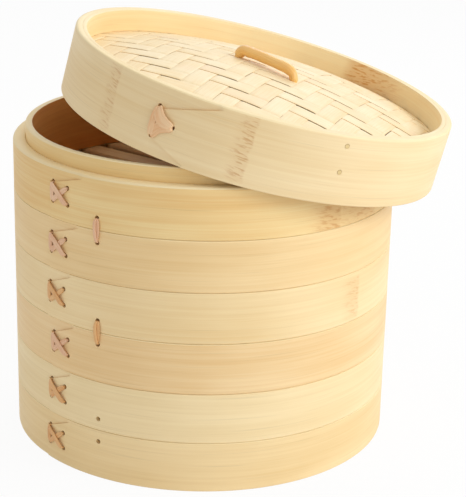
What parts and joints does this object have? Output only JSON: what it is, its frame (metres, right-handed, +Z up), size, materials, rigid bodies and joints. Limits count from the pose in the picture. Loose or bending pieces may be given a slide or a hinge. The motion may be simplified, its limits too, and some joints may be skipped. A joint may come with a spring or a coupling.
{
  "type": "bamboo steamer basket",
  "caption": "Round stacked bamboo steamer with slatted floors, laced hoops and a woven domed lid leaning open.",
  "frame": {"origin": "centre of the bottom tier's underside", "axes": "+Z up the stack, +X to the right, towards the low side of the leaning lid, -Y to the front"},
  "size_m": [0.228, 0.2026, 0.2171],
  "materials": {
    "band_bamboo": "planed split bamboo, pale, satin",
    "rim_bamboo": "planed split bamboo, satin",
    "floor_bamboo": "sawn bamboo slats",
    "weave_bamboo": "thin shaved bamboo strips",
    "lining_bamboo": "pressed bamboo sheet",
    "cane": "flat cane lacing",
    "handle_cane": "round cane, lightly varnished",
    "peg_bamboo": "split bamboo pegs"
  },
  "bodies": {
    "bottom_tier": {"bottom_cross_bars": "floor_bamboo", "bottom_floor_hoop": "floor_bamboo", "bottom_floor_slats": "floor_bamboo", "bottom_lower_band": "band_bamboo", "bottom_lower_lace": "cane", "bottom_rim_hoop": "rim_bamboo", "bottom_upper_band": "band_bamboo", "bottom_upper_lace": "cane"},
    "middle_tier": {"middle_band_tie": "cane", "middle_cross_bars": "floor_bamboo", "middle_floor_hoop": "floor_bamboo", "middle_floor_slats": "floor_bamboo", "middle_lower_band": "band_bamboo", "middle_lower_lace": "cane", "middle_rim_hoop": "rim_bamboo", "middle_upper_band": "band_bamboo", "middle_upper_lace": "cane"},
    "top_tier": {"top_band_tie": "cane", "top_cross_bars": "floor_bamboo", "top_floor_hoop": "floor_bamboo", "top_floor_slats": "floor_bamboo", "top_lower_band": "band_bamboo", "top_lower_lace": "cane", "top_rim_hoop": "rim_bamboo", "top_upper_band": "band_bamboo", "top_upper_lace": "cane"},
    "lid": {"lid_handle_core": "handle_cane", "lid_handle_pins": "peg_bamboo", "lid_handle_wrap": "handle_cane", "lid_lining": "lining_bamboo", "lid_lower_hoop": "rim_bamboo", "lid_outer_hoop": "band_bamboo", "lid_pegs": "peg_bamboo", "lid_stitch": "cane", "lid_upper_hoop": "rim_bamboo", "lid_weave_warp": "weave_bamboo", "lid_weave_weft": "weave_bamboo"}
  },
  "joints": [
    {"name": "middle_tier_lift", "type": "slide", "parent": "bottom_tier", "child": "middle_tier", "axis": [0, 0, 1], "range_m": [0, 0.1]},
    {"name": "top_tier_lift", "type": "slide", "parent": "middle_tier", "child": "top_tier", "axis": [0, 0, 1], "range_m": [0, 0.1]},
    {"name": "lid_lift", "type": "slide", "parent": "top_tier", "child": "lid", "axis": [0, 0, 1], "range_m": [0, 0.15]}
  ]
}
